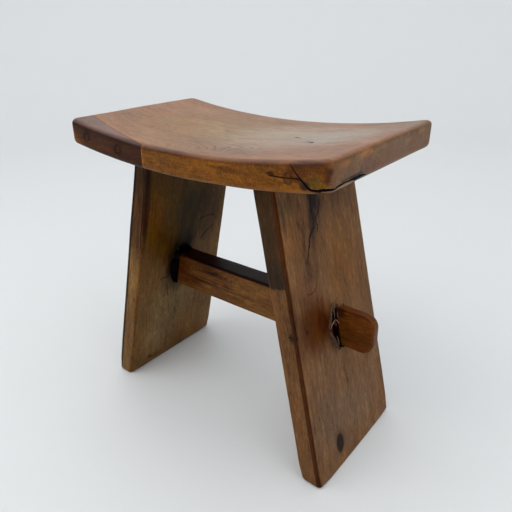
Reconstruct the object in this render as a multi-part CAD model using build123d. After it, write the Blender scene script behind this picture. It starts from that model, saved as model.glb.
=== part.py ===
from build123d import *
import os
from math import cos, radians, sin, tan

# Stool with a dished plank seat, two splayed slab legs and a stretcher with wedged through tenons.
# Millimetres. The origin is on the floor under the middle of the seat, +X runs along the seat,
# -Y is the front with the patched corner, +Z is up.

# Seat board: one plank, dished along its length, a little thinner in the middle than at its ends
seat_length = 424.3
seat_depth = 253.6
seat_end_height = 450.0
seat_end_thickness = 34.6
seat_top_sag = 20.3
seat_underside_sag = 18.1
seat_corner_round = 13.0
seat_top_round = 8.0
seat_bottom_round = 7.5

# Corner patch: a wedge of other wood let into the front left corner, with a blunt nose
patch_length = 154.5
patch_end_depth = 39.5
patch_nose_depth = 3.0

# Dowels that pin the patch, driven in from the front edge
dowel_diameter = 10.0
outer_dowel_length = 62.0
inner_dowel_length = 45.0
outer_dowel_from_end = 39.6
inner_dowel_from_end = 106.8
dowel_end_gap = 1.0

# Slab legs: they lean in towards the seat and narrow upwards; the inset is from the seat's end
# to the leg's inner face at the floor
leg_foot_inset = 31.4
leg_splay = 13.06
leg_thickness = 31.0
leg_foot_width = 204.2
leg_top_width = 178.6
leg_arris_round = 3.3
leg_foot_round = 5.0

# Blind stub tenons on top of each leg, with a saw kerf for a hidden wedge
stub_width = 44.0
stub_thickness = 16.0
stub_length = 19.0
stub_spacing = 84.0
stub_root = 12.0
stub_end_gap = 1.0
fox_wedge_length = 15.0
fox_wedge_thick_end = 3.0
fox_wedge_thin_end = 1.0

# Stretcher: a bar on edge behind the legs' middle, rising a little to the right as its joints left it
stretcher_height = 58.0
stretcher_thickness = 34.2
stretcher_centre_height = 187.6
stretcher_set_back = 10.3
stretcher_rise = 0.6
stretcher_arris_round = 3.5

# Through tenons of the stretcher, with rounded ends outside the legs
tenon_front_shoulder = 6.2
tenon_back_shoulder = 8.6
tenon_top_shoulder = 2.0
tenon_projection = 49.0
tenon_end_round = 18.0
tenon_front_arris_round = 2.5
tenon_back_arris_round = 9.0

# Leg mortises: cut too wide in front of the tenon, and the left one too high as well
pocket_inner_width = 19.0
pocket_outer_width = 25.0
pocket_round = 8.0
left_mortise_over_cut = 14.0

# Wedges driven in beside the tenons and broken off inside the leg
wedge_recess = 11.0
wedge_length = 13.0
wedge_height = 40.0

# Clearances and the overrun of every cut
glue_gap = 0.1
fit_gap = 0.15
overrun = 20.0

# Places that follow from the sizes above
lean = radians(leg_splay)
leg_foot_reach = seat_length / 2 - leg_foot_inset
leg_level_thickness = leg_thickness / cos(lean)
seat_end_underside = seat_end_height - seat_end_thickness
seat_centre_underside = seat_end_underside - seat_underside_sag
leg_length = seat_centre_underside / cos(lean)
joint_reach = leg_foot_reach - stretcher_centre_height * tan(lean)
tenon_tip = joint_reach + leg_level_thickness + tenon_projection
tenon_front = -stretcher_thickness / 2 + tenon_front_shoulder
tenon_back = stretcher_thickness / 2 - tenon_back_shoulder
tenon_bottom = -stretcher_height / 2
tenon_top = stretcher_height / 2 - tenon_top_shoulder


def sag_arc(end_height, sag):
    """Arc over the seat's length that hangs in the middle, in the X-Z plane."""
    end = seat_length / 2
    return ThreePointArc((-end, end_height), (0, end_height - sag), (end, end_height))


def seat_blank():
    """The whole dished plank with its rounded corners, before the patch is let in."""
    top = sag_arc(seat_end_height, seat_top_sag)
    bottom = sag_arc(seat_end_underside, seat_underside_sag)
    ends = [Line(top @ 0, bottom @ 0), Line(top @ 1, bottom @ 1)]
    outline = Plane.XZ * make_face([top, bottom] + ends)
    blank = extrude(outline, amount=seat_depth / 2, both=True)
    blank = fillet(blank.edges().filter_by(Axis.Z), seat_corner_round)
    top_face = blank.faces().filter_by(GeomType.CYLINDER).sort_by(SortBy.AREA)[-2:].sort_by(Axis.Z)[-1]
    blank = fillet(top_face.edges(), seat_top_round)
    bottom_face = blank.faces().filter_by(GeomType.CYLINDER).sort_by(SortBy.AREA)[-2:].sort_by(Axis.Z)[0]
    return fillet(bottom_face.edges(), seat_bottom_round)


def patch_region(gap=0.0):
    """Upright prism in front of the patch's glue line, drawn back from it by a gap."""
    left = -seat_length / 2
    front = -seat_depth / 2
    nose_x = left + patch_length - gap
    rise = (patch_end_depth - patch_nose_depth) / patch_length
    corner = Line((nose_x, front - overrun), (nose_x, front + patch_nose_depth - gap))
    end_y = front + patch_end_depth + rise * overrun - gap
    joint = Line(corner @ 1, (left - overrun, end_y))
    side = Line(joint @ 1, (left - overrun, front - overrun))
    closing = Line(side @ 1, corner @ 0)
    return extrude(make_face([corner, joint, side, closing]), amount=seat_end_height + overrun)


def seat_middle_height(x):
    """Height of the middle of the plank's thickness at a place along its length."""
    half_length = seat_length / 2
    sag = (seat_top_sag + seat_underside_sag) / 2
    radius = (half_length**2 + sag**2) / (2 * sag)
    arc_drop = (radius**2 - x**2) ** 0.5 - (radius - sag)
    return (seat_end_height + seat_end_underside) / 2 - arc_drop


def patch_dowel(from_end, length, gap=0.0, end_gap=0.0):
    """Dowel pointing back from the front edge; with gaps it is the hole for one."""
    x = -seat_length / 2 + from_end
    place = Pos(x, -seat_depth / 2, seat_middle_height(x)) * Rot(X=-90)
    radius = dowel_diameter / 2 + gap
    return place * Cylinder(radius, length + end_gap, align=(Align.CENTER, Align.CENTER, Align.MIN))


def leg_plane(side):
    """Plane of a leg's inner face: X across the leg, Y up its slope, Z outwards."""
    foot = (side * leg_foot_reach, 0, 0)
    return Plane(origin=foot, x_dir=(0, side, 0), z_dir=(side * cos(lean), 0, sin(lean)))


def leg_layer(side, inner, outer):
    """Everything between two depths, measured outwards from a leg's inner face."""
    width = leg_foot_width + 2 * overrun
    layer = Box(width, 2 * seat_end_height, outer - inner, align=(Align.CENTER, Align.CENTER, Align.MIN))
    return leg_plane(side) * Pos(0, 0, inner) * layer


def above_seat_underside():
    """Everything above the seat's underside, less the glue line, wider than the legs."""
    half_length = seat_length / 2
    half_width = leg_foot_width / 2 + overrun
    underside = sag_arc(seat_end_underside - glue_gap, seat_underside_sag)
    crown = seat_end_height + overrun
    left = Line(underside @ 0, (-half_length, crown))
    right = Line(underside @ 1, (half_length, crown))
    closing = Line(left @ 1, right @ 1)
    return extrude(Plane.XZ * make_face([underside, left, right, closing]), amount=half_width, both=True)


def leg_slab(side):
    """Tapered leaning slab with a flat sole and rounded arrises, scribed to the seat."""
    taper = (leg_foot_width - leg_top_width) / 2 / leg_length
    low, high = -overrun, leg_length + overrun
    foot_half = leg_foot_width / 2 - taper * low
    top_half = leg_foot_width / 2 - taper * high
    corners = [(-foot_half, low), (foot_half, low), (top_half, high), (-top_half, high)]
    outline = make_face(Polyline(corners + corners[:1]))
    slab = leg_plane(side) * extrude(outline, amount=leg_thickness)
    ground = (2 * (seat_length + overrun), leg_foot_width + 2 * overrun, 2 * overrun)
    slab -= Box(*ground, align=(Align.CENTER, Align.CENTER, Align.MAX))
    sole_edges = slab.edges().group_by(Axis.Z)[0].sort_by(Axis.Y)
    slab = fillet([sole_edges[0], sole_edges[-1]], leg_foot_round)
    broad_faces = slab.faces().sort_by(SortBy.AREA)[-2:]
    slab = fillet(broad_faces[0].edges() + broad_faces[1].edges(), leg_arris_round)
    return slab - above_seat_underside()


def stub_block(side, place, gap=0.0, end_gap=0.0):
    """One stub tenon from its root inside the leg to its tip; with gaps it is its mortise."""
    width = stub_width + 2 * gap
    thickness = stub_thickness + 2 * gap
    length = stub_root + stub_length + end_gap
    block = Box(width, length, thickness, align=(Align.CENTER, Align.MIN, Align.CENTER))
    return leg_plane(side) * Pos(side * place, leg_length - stub_root, leg_thickness / 2) * block


def fox_wedge(side, place, gap=0.0):
    """Thin wedge across a stub tenon, thick end at the tip; without a gap it is its kerf."""
    tip = leg_length + stub_length
    root = tip - fox_wedge_length + gap
    thick = fox_wedge_thick_end / 2 - gap
    thin = fox_wedge_thin_end / 2 - gap
    corners = [(-thick, tip), (thick, tip), (thin, root), (-thin, root)]
    outline = make_face(Polyline(corners + corners[:1]))
    across = extrude(Plane.ZY * outline, amount=stub_width / 2, both=True)
    return leg_plane(side) * Pos(side * place, 0, leg_thickness / 2) * across


def stretcher_place():
    """Where the stretcher's own axes lie: its middle, tilted by its rise."""
    return Pos(0, stretcher_set_back, stretcher_centre_height) * Rot(Y=-stretcher_rise)


def pocket_front(x):
    """Front wall of a mortise, along the stretcher; it opens towards the leg's outer face."""
    share = (x - joint_reach) / leg_level_thickness
    return tenon_front - pocket_inner_width - share * (pocket_outer_width - pocket_inner_width)


def plan_prism(side, x_range, front, back, bottom, top):
    """Upright prism with a slanting front wall whose two front corners are rounded."""
    x0, x1 = x_range
    corners = [(x0, front(x0)), (x1, front(x1)), (x1, back), (x0, back)]
    corners = [(side * x, y) for x, y in corners]
    prism = Pos(0, 0, bottom) * extrude(make_face(Polyline(corners + corners[:1])), amount=top - bottom)
    front_edges = prism.faces().sort_by(Axis.Y)[0].edges().sort_by(Axis.Z)
    return fillet([front_edges[0], front_edges[-1]], pocket_round)


def leg_mortise(side):
    """Through mortise for a tenon, with the pocket in front that the wedge fills."""
    x_range = (joint_reach - overrun, joint_reach + leg_level_thickness + overrun)
    over_cut = left_mortise_over_cut if side < 0 else fit_gap
    back, bottom, top = tenon_back + fit_gap, tenon_bottom - fit_gap, tenon_top + over_cut
    return stretcher_place() * plan_prism(side, x_range, pocket_front, back, bottom, top)


def tenon_wedge(side):
    """Stub of a wedge between the tenon and the slanting wall of its pocket."""

    def front(x):
        return pocket_front(x) + glue_gap

    x_range = (joint_reach - overrun, joint_reach + leg_level_thickness + overrun)
    bar = plan_prism(side, x_range, front, tenon_front - glue_gap, tenon_bottom, tenon_bottom + wedge_height)
    outer = leg_thickness - wedge_recess
    return stretcher_place() * bar & leg_layer(side, outer - wedge_length, outer)


def stretcher():
    """Bar with shoulders cut to the legs' lean and a rounded through tenon at each end."""
    body = Box(2 * tenon_tip, stretcher_thickness, stretcher_height)
    body = stretcher_place() * fillet(body.edges().filter_by(Axis.X), stretcher_arris_round)
    for side in (-1, 1):
        body -= leg_layer(side, -fit_gap, seat_length)
    tenon_height = tenon_top - tenon_bottom
    outline = RectangleRounded(2 * tenon_tip, tenon_height, tenon_end_round)
    bar = extrude(Plane.XZ * outline, amount=(tenon_back - tenon_front) / 2, both=True)
    bar = fillet(bar.faces().sort_by(Axis.Y)[0].edges(), tenon_front_arris_round)
    bar = fillet(bar.faces().sort_by(Axis.Y)[-1].edges(), tenon_back_arris_round)
    middle = Pos(0, (tenon_front + tenon_back) / 2, (tenon_bottom + tenon_top) / 2)
    return body + stretcher_place() * middle * bar


def leg(side):
    """One leg with its two kerfed stub tenons and the mortise for the stretcher."""
    solid = leg_slab(side)
    for place in (-stub_spacing / 2, stub_spacing / 2):
        solid += stub_block(side, place)
        solid -= fox_wedge(side, place)
    return solid - leg_mortise(side)


def seat_board(plank):
    """Seat plank with its stub mortises, the notch for the patch and the dowel holes."""
    board = plank - patch_region()
    for side in (-1, 1):
        for place in (-stub_spacing / 2, stub_spacing / 2):
            board -= stub_block(side, place, glue_gap, stub_end_gap)
    for hole in dowel_holes():
        board -= hole
    return board


def corner_patch(plank):
    """The piece let into the corner, cut from the same outline as the seat."""
    patch = plank & patch_region(glue_gap)
    for hole in dowel_holes():
        patch -= hole
    return patch


def dowel_holes():
    """Blind holes through the patch into the seat board."""
    outer = patch_dowel(outer_dowel_from_end, outer_dowel_length, glue_gap, dowel_end_gap)
    inner = patch_dowel(inner_dowel_from_end, inner_dowel_length, glue_gap, dowel_end_gap)
    return [outer, inner]


whole_plank = seat_blank()
pieces = {
    "seat_board": seat_board(whole_plank),
    "seat_corner_patch": corner_patch(whole_plank),
    "patch_dowel_outer": patch_dowel(outer_dowel_from_end, outer_dowel_length),
    "patch_dowel_inner": patch_dowel(inner_dowel_from_end, inner_dowel_length),
    "stretcher": stretcher(),
}
for name, side in (("left", -1), ("right", 1)):
    pieces[name + "_leg"] = leg(side)
    pieces[name + "_tenon_wedge"] = tenon_wedge(side)
    for end, place in (("front", -stub_spacing / 2), ("back", stub_spacing / 2)):
        pieces[name + "_leg_" + end + "_fox_wedge"] = fox_wedge(side, place, glue_gap)

os.makedirs("parts", exist_ok=True)
for node, shape in pieces.items():
    export_step(shape, "parts/" + node + ".step")
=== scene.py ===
import math

import bpy
import numpy as np
from mathutils import Matrix, Vector


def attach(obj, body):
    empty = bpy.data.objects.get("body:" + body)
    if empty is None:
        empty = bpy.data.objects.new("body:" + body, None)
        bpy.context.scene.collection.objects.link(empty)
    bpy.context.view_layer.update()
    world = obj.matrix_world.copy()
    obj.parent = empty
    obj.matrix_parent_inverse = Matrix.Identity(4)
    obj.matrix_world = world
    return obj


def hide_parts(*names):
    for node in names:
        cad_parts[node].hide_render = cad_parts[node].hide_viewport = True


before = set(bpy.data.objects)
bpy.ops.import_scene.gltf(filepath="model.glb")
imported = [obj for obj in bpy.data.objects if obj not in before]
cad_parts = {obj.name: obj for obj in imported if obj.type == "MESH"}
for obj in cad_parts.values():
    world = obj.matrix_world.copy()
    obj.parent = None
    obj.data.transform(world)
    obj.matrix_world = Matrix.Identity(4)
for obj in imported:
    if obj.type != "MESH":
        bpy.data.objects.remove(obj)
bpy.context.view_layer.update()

# Sizes in millimetres; the rounds are those of worn edges. +X runs along the seat, -Y is the front.
# A leg's side is -1 for the left one and 1 for the right one.
SEAT_LENGTH = 424.3
SEAT_DEPTH = 253.6
SEAT_END_HEIGHT = 450.0
SEAT_END_THICKNESS = 34.6
SEAT_TOP_SAG = 20.3
SEAT_UNDERSIDE_SAG = 18.1
SEAT_CORNER_ROUND = 13.0
SEAT_TOP_ROUND = 9.0
SEAT_BOTTOM_ROUND = 8.0
PATCH_LENGTH = 154.5
PATCH_END_DEPTH = 39.5
PATCH_NOSE_DEPTH = 3.0
DOWEL_RADIUS = 5.0
DOWEL_HOLE_RADIUS = 5.5
DOWEL_HOLE_OVERSHOOT = 3.0
DOWELS = {"patch_dowel_outer": (39.6, 62.0), "patch_dowel_inner": (106.8, 45.0)}
LEG_FOOT_REACH = SEAT_LENGTH / 2 - 31.4
LEG_LEAN = math.radians(13.06)
LEG_THICKNESS = 31.0
LEG_FOOT_WIDTH = 204.2
LEG_TOP_WIDTH = 178.6
LEG_ARRIS_ROUND = {-1: 4.8, 1: 3.3}
LEG_FOOT_ROUND = 5.0
LEG_FIT_LENGTH = 60.0
FOOT_WEAR = 4.5
FOOT_WEAR_HEIGHT = 26.0
STUB_SIZE = (44.0, 16.0)
STUB_LENGTH = 19.0
STUB_ROOT = 12.0
STUB_SPACING = 84.0
KERF_LENGTH = 15.0
STUB_ROOM = 1.0
KERF_SIZE = (46.0, 3.0)
STRETCHER_HEIGHT = 58.0
STRETCHER_THICKNESS = 34.2
STRETCHER_CENTRE_HEIGHT = 187.6
STRETCHER_SET_BACK = 10.3
STRETCHER_RISE = math.radians(0.6)
STRETCHER_ARRIS_ROUND = 3.5
TENON_FRONT_SHOULDER = 6.2
TENON_BACK_SHOULDER = 8.6
TENON_TOP_SHOULDER = 2.0
TENON_PROJECTION = 49.0
TENON_END_ROUND = 18.0
TENON_FRONT_ROUND = 2.5
TENON_BACK_ROUND = 9.0
WEDGE_RECESS = 11.0
WEDGE_LENGTH = 13.0
WEDGE_HEIGHT = 40.0
WEDGE_WIDTH = 16.0
WEDGE_SIDE_GAP = 0.8
WEDGE_FLOOR_GAP = 1.5

SEAT_END = SEAT_LENGTH / 2
SEAT_FRONT = -SEAT_DEPTH / 2
SEAT_END_UNDERSIDE = SEAT_END_HEIGHT - SEAT_END_THICKNESS
SEAT_CENTRE_UNDERSIDE = SEAT_END_UNDERSIDE - SEAT_UNDERSIDE_SAG
LEG_LENGTH = SEAT_CENTRE_UNDERSIDE / math.cos(LEG_LEAN)
LEG_LEVEL_THICKNESS = LEG_THICKNESS / math.cos(LEG_LEAN)
JOINT_REACH = LEG_FOOT_REACH - STRETCHER_CENTRE_HEIGHT * math.tan(LEG_LEAN)
TENON_TIP = JOINT_REACH + LEG_LEVEL_THICKNESS + TENON_PROJECTION
TENON_FRONT = STRETCHER_SET_BACK - STRETCHER_THICKNESS / 2 + TENON_FRONT_SHOULDER
TENON_BACK = STRETCHER_SET_BACK + STRETCHER_THICKNESS / 2 - TENON_BACK_SHOULDER
TENON_HEIGHT = STRETCHER_HEIGHT - TENON_TOP_SHOULDER
TENON_LOW = STRETCHER_CENTRE_HEIGHT - STRETCHER_HEIGHT / 2

# Gaps between pieces, metres in a millimetre, and how the surfaces are divided and the grooves cut.
GLUE_GAP = 0.1
BAR_GAP = 0.15
JOINT_GAP = 0.25
MM = 0.001
CELL = 2.5
GROOVE_STEP = 1.6
GROOVE_RISE = 1.5
SHARP_ANGLE = math.radians(35.0)

UP = (0.0, 0.0, 1.0)
DOWN = (0.0, 0.0, -1.0)
FRONT = (0.0, -1.0, 0.0)
RIGHT = (1.0, 0.0, 0.0)
LEFT = (-1.0, 0.0, 0.0)
RIGHT_LEG_OUT = (math.cos(LEG_LEAN), 0.0, math.sin(LEG_LEAN))
LEFT_LEG_OUT = (-math.cos(LEG_LEAN), 0.0, math.sin(LEG_LEAN))
LEFT_LEG_IN = (math.cos(LEG_LEAN), 0.0, -math.sin(LEG_LEAN))

# Smooth noise and closed bodies. A body is (points in millimetres, faces, material).

class SmoothNoise:
    """Seeded noise between -1 and 1 that varies smoothly over a chosen distance."""

    def __init__(self, seed):
        self.table = np.random.default_rng(seed).uniform(-1, 1, (32, 32, 32))

    def __call__(self, points, spacing):
        q = np.asarray(points, float) / spacing
        base = np.floor(q).astype(int)
        t = q - base
        t = t * t * (3 - 2 * t)
        total = np.zeros(len(q))
        for step in np.ndindex(2, 2, 2):
            weight = np.prod(np.where(step, t, 1 - t), axis=1)
            total += weight * self.table[tuple(((base + step) % 32).T)]
        return total


def unit(vectors):
    """The vectors with their length made 1."""
    return vectors / np.maximum(np.linalg.norm(vectors, axis=-1, keepdims=True), 1e-9)


def between(stations, marks, rows):
    """Rows at the stations, on straight lines between the rows at the marks."""
    return np.column_stack([np.interp(stations, marks, column) for column in np.asarray(rows).T])


def grid_lines(half, low_zone, high_zone, cell, zone_cells):
    """Grid lines from -half to half, closer together in the rounded zones at both ends."""
    low = np.linspace(-half, -half + low_zone, zone_cells + 1)
    high = np.linspace(half - high_zone, half, zone_cells + 1)
    count = max(2, round((2 * half - low_zone - high_zone) / cell))
    middle = np.linspace(-half + low_zone, half - high_zone, count + 1)[1:-1]
    return np.concatenate([low, middle, high])


def box_skin(xs, ys, zs):
    """Points and quads of a box's skin on three sets of grid lines."""
    skin = np.zeros((len(xs), len(ys), len(zs)), bool)
    skin[[0, -1]] = skin[:, [0, -1]] = skin[:, :, [0, -1]] = True
    index = np.full(skin.shape, -1)
    index[skin] = np.arange(skin.sum())
    i, j, k = np.nonzero(skin)
    points = np.column_stack([xs[i], ys[j], zs[k]])
    quads = []
    for axis in range(3):
        for end in (0, -1):
            sheet = np.take(index, end, axis=axis)
            quad = np.stack([sheet[:-1, :-1], sheet[1:, :-1], sheet[1:, 1:], sheet[:-1, 1:]], -1)
            quad = quad.reshape(-1, 4)
            outward = (end == -1) != (axis == 1)
            quads.append(quad if outward else quad[:, ::-1])
    return points, np.concatenate(quads)


def plate_skin(halves, corner, rims, corner_cells=5, rim_cells=5, rim_cell=CELL):
    """Skin of a flat box, finer where its upright corners and its low and high rims will be rounded."""
    xs, ys = (grid_lines(half, corner, corner, CELL, corner_cells) for half in halves[:2])
    return box_skin(xs, ys, grid_lines(halves[2], *rims, rim_cell, rim_cells))


def round_plate(points, halves, corner, top_round, low_round):
    """Rounds a box's skin: the four upright corners, then the rims of the top and bottom faces."""
    half_x, half_y, half_z = halves
    sign_x, sign_y, sign_z = np.sign(points.T)
    x, y, z = abs(points.T)
    edge = np.minimum(half_x - x, half_y - y)
    depth = half_z - z
    rim = np.where(sign_z > 0, top_round, low_round)
    across = np.clip(rim - edge, 0, None)
    down = np.clip(rim - depth, 0, None)
    length = np.maximum(np.hypot(across, down), 1e-9)
    zone = (across > 0) & (down > 0)
    new_edge = np.where(zone, rim - rim * across / length, edge)
    new_depth = np.where(zone, rim - rim * down / length, depth)
    over_x, over_y = x - (half_x - corner), y - (half_y - corner)
    in_corner = (over_x > 0) & (over_y > 0)
    ring = (corner - new_edge) / np.maximum(np.hypot(over_x, over_y), 1e-9)
    near_x = half_x - x < half_y - y
    flat_x = np.where(zone & near_x, half_x - new_edge, x)
    flat_y = np.where(zone & ~near_x, half_y - new_edge, y)
    new_x = np.where(in_corner, half_x - corner + over_x * ring, flat_x)
    new_y = np.where(in_corner, half_y - corner + over_y * ring, flat_y)
    return np.column_stack([new_x * sign_x, new_y * sign_y, sign_z * (half_z - new_depth)])


def wear(points, quads, seed, roll=0.25, ripple=0.08):
    """Hand-planed unevenness, pushed in along the outward normals."""
    face = np.cross(points[quads[:, 2]] - points[quads[:, 0]], points[quads[:, 3]] - points[quads[:, 1]])
    normals = np.zeros_like(points)
    for corner in range(4):
        np.add.at(normals, quads[:, corner], face)
    noise = SmoothNoise(seed)
    push = roll * noise(points, 70.0) + ripple * noise(points + 500.0, 14.0)
    return points + unit(normals) * push[:, None]


def outward(points, faces):
    """The faces of a closed body, all turned round if the body is inside out."""
    fans = np.array([(face[0], face[i], face[i + 1]) for face in faces for i in range(1, len(face) - 1)])
    volume = np.linalg.det(np.array(points)[fans]).sum()
    return faces if volume > 0 else [face[::-1] for face in faces]


def link_object(name, data):
    obj = bpy.data.objects.new(name, data)
    bpy.context.scene.collection.objects.link(obj)
    return obj


def new_object(name, bodies):
    """Mesh object of one or more closed bodies."""
    mesh = bpy.data.meshes.new(name)
    materials, all_points, all_faces, slots = [], [], [], []
    for points, faces, material in bodies:
        if material not in materials:
            materials.append(material)
            mesh.materials.append(material)
        start = len(all_points)
        places = np.asarray(points, float).tolist()
        for face in outward(places, [tuple(map(int, face)) for face in faces]):
            all_faces.append(tuple(start + i for i in face))
            slots.append(materials.index(material))
        all_points += places
    mesh.from_pydata([[c * MM for c in p] for p in all_points], [], all_faces)
    mesh.polygons.foreach_set("material_index", slots)
    return link_object(name, mesh)


def combine(obj, bodies, operation):
    """Exact Boolean of obj with closed bodies, whose materials go with their faces."""
    tool = new_object("tool", bodies)
    modifier = obj.modifiers.new("combine", "BOOLEAN")
    modifier.operation = operation
    modifier.solver = "EXACT"
    modifier.material_mode = "TRANSFER"
    modifier.object = tool
    bpy.context.view_layer.update()
    graph = bpy.context.evaluated_depsgraph_get()
    mesh = bpy.data.meshes.new_from_object(obj.evaluated_get(graph))
    obj.modifiers.clear()
    old = obj.data
    obj.data = mesh
    bpy.data.meshes.remove(old)
    bpy.data.objects.remove(tool)


def cut(obj, bodies):
    combine(obj, bodies, "DIFFERENCE")


def skin_loops(loops):
    """Points and faces of a closed body over a row of loops with equal counts."""
    count = len(loops[0])
    last = (len(loops) - 1) * count
    faces = []
    for row in range(0, last, count):
        for i in range(count):
            j = (i + 1) % count
            faces.append((row + i, row + j, row + count + j, row + count + i))
    faces += [tuple(range(count))[::-1], tuple(range(last, last + count))]
    return np.concatenate([np.asarray(loop, float) for loop in loops]), faces


def along_path(path, count):
    """Evenly spaced points on a path, their directions and how far along they lie."""
    path = np.array(path, float)
    lengths = np.concatenate([[0], np.cumsum(np.linalg.norm(np.diff(path, axis=0), axis=1))])
    stations = np.linspace(0, lengths[-1], count)
    places = between(stations, lengths, path)
    return places, unit(np.gradient(places, axis=0)), stations


def groove(path, outward_ways, width, depth, seed, material, ragged=0.35):
    """Ragged V-shaped cutter along a path on a surface, thin at both ends."""
    ways = np.broadcast_to(np.array(outward_ways, float), (len(path), 3))
    widths = np.broadcast_to(np.array(width, float), (len(path),))
    length = np.sum(np.linalg.norm(np.diff(np.array(path, float), axis=0), axis=1))
    count = max(6, round(length / GROOVE_STEP))
    places, ahead, stations = along_path(path, count)
    share = np.linspace(0, len(path) - 1, count)
    ups = unit(between(share, range(len(path)), ways))
    wide = np.interp(share, range(len(path)), widths)
    side = unit(np.cross(ahead, ups))
    noise = SmoothNoise(seed)
    taper = np.clip(np.minimum(stations, stations[-1] - stations) / (4 * wide), 0.1, 1) ** 0.6
    places = places + side * (noise(places, 5.0) * ragged * wide)[:, None]
    left = wide / 2 * taper * (1 + ragged * noise(places + 100, 2.3))
    right = wide / 2 * taper * (1 + ragged * noise(places + 200, 2.3))
    low = depth * (0.35 + 0.65 * taper) * (1 + 0.2 * noise(places + 300, 4.0))
    loops = []
    for place, s, u, a, b, d in zip(places, side, ups, left, right, low):
        profile = ((a, GROOVE_RISE), (a, 0), (0.5 * a, -0.6 * d), (0, -d), (-0.6 * b, -0.5 * d), (-b, 0),
                   (-b, GROOVE_RISE))
        loops.append([place + s * across + u * up for across, up in profile])
    return (*skin_loops(loops), material)


def lump(centre, radii, seed, material, rough=0.3, rings=8, sides=14):
    """Uneven rounded lump."""
    noise = SmoothNoise(seed)
    angles = np.linspace(0, 2 * math.pi, sides, endpoint=False)
    loops = []
    for polar in np.linspace(0.2, math.pi - 0.2, rings):
        flat = math.sin(polar)
        height = np.full(sides, math.cos(polar))
        ball = np.column_stack([flat * np.cos(angles), flat * np.sin(angles), height])
        swell = 1 + rough * noise(ball + 10.0, 0.7)
        loops.append(np.array(centre) + ball * np.array(radii) * swell[:, None])
    return (*skin_loops(loops), material)


def splinter(path, radius, material, sides=6):
    """Thin strand of wood that tapers at both ends."""
    count = 9
    places, ahead, _ = along_path(path, count)
    angles = np.linspace(0, 2 * math.pi, sides, endpoint=False)
    loops = []
    for i, (place, way) in enumerate(zip(places, ahead)):
        side = unit(np.cross(way, (0.3, -0.8, 0.5)))
        other = np.cross(way, side)
        size = radius * max(0.15, math.sin(math.pi * (i + 0.5) / count)) ** 0.7
        loops.append([place + size * (math.cos(a) * side + 0.7 * math.sin(a) * other) for a in angles])
    return (*skin_loops(loops), material)


# Places on the stool

def arc_height(sag, x):
    """How far an arc over the seat's length hangs below its ends."""
    radius = (SEAT_END**2 + sag**2) / (2 * sag)
    return radius - np.sqrt(np.maximum(radius**2 - np.square(x), 0)) - sag


def seat_top(x):
    return SEAT_END_HEIGHT + arc_height(SEAT_TOP_SAG, x)


def seat_underside(x):
    return SEAT_END_UNDERSIDE + arc_height(SEAT_UNDERSIDE_SAG, x)


def leg_to_world(side, across, up, out):
    """From a leg's own directions, measured at the foot of its inner face, to the stool's."""
    x = side * (LEG_FOOT_REACH - up * math.sin(LEG_LEAN) + out * math.cos(LEG_LEAN))
    z = up * math.cos(LEG_LEAN) + out * math.sin(LEG_LEAN)
    return np.column_stack(np.broadcast_arrays(x, across, z))


def leg_face(side, places, out):
    """Points at a distance out from a leg's inner face, from (y, z) places."""
    y, z = np.array(places, float).T
    up = (z - out * math.sin(LEG_LEAN)) / math.cos(LEG_LEAN)
    return leg_to_world(side, y, up, out)


def tilt(points):
    """Turns stretcher points by its rise about its middle."""
    x, y, z = np.asarray(points, float).T
    z = z - STRETCHER_CENTRE_HEIGHT
    c, s = math.cos(STRETCHER_RISE), math.sin(STRETCHER_RISE)
    return np.column_stack([x * c - z * s, y, x * s + z * c + STRETCHER_CENTRE_HEIGHT])


# Materials

def srgb(*channels):
    """Colour from 0-255 display values to a linear RGBA."""
    linear = [c / 255 / 12.92 if c <= 10 else ((c / 255 + 0.055) / 1.055) ** 2.4 for c in channels]
    return (*linear, 1.0)


class Plank:
    """A piece's own directions: X along the grain, Y and Z across it, in millimetres."""

    def __init__(self, origin, along, across=(0, 1, 0)):
        self.origin = np.array(origin, float)
        along = unit(np.array(along, float))
        deep = unit(np.cross(along, across))
        self.axes = np.array([along, np.cross(deep, along), deep])

    def local(self, place):
        return self.axes @ (np.array(place, float) - self.origin)


class Signal:
    """Output of a node. Arithmetic on it adds math nodes."""

    def __init__(self, shader, socket):
        self.shader = shader
        self.socket = socket

    def __add__(self, other):
        return self.shader.math("ADD", self, other)

    def __sub__(self, other):
        return self.shader.math("SUBTRACT", self, other)

    def __mul__(self, other):
        return self.shader.math("MULTIPLY", self, other)

    def __truediv__(self, other):
        return self.shader.math("DIVIDE", self, other)


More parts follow.
